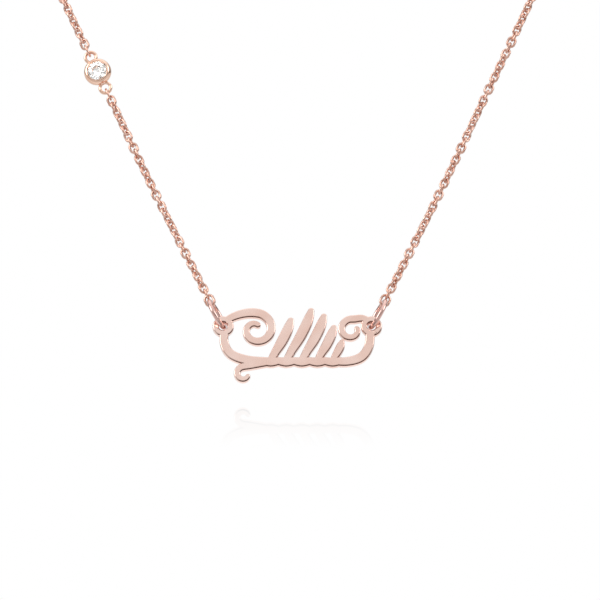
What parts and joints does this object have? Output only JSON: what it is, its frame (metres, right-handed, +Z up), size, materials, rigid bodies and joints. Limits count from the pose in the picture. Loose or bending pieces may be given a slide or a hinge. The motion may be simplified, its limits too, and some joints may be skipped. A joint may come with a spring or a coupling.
{
  "type": "nameplate necklace",
  "caption": "Fine cable-chain necklace whose pierced ornament plate hangs between two jump rings, with a bezel-set clear stone on the left of the chain.",
  "frame": {"origin": "middle of the neck opening at the height of the nape, where the chain rests on the back of the neck", "axes": "+Z up, -Y towards the front of the wearer, where the plate hangs, +X to the right of the picture"},
  "size_m": [0.1101, 0.1147, 0.1305],
  "materials": {
    "rose_gold": "polished",
    "clear_stone": "faceted and polished"
  },
  "bodies": {
    "root": {"nameplate": "rose_gold", "jump_ring_left": "rose_gold", "jump_ring_right": "rose_gold", "chain_left_lower": "rose_gold", "bezel_setting": "rose_gold", "stone": "clear_stone", "chain_left_upper": "rose_gold", "chain_left_nape": "rose_gold", "chain_right_front": "rose_gold", "chain_right_nape": "rose_gold", "clasp": "rose_gold"}
  },
  "joints": []
}
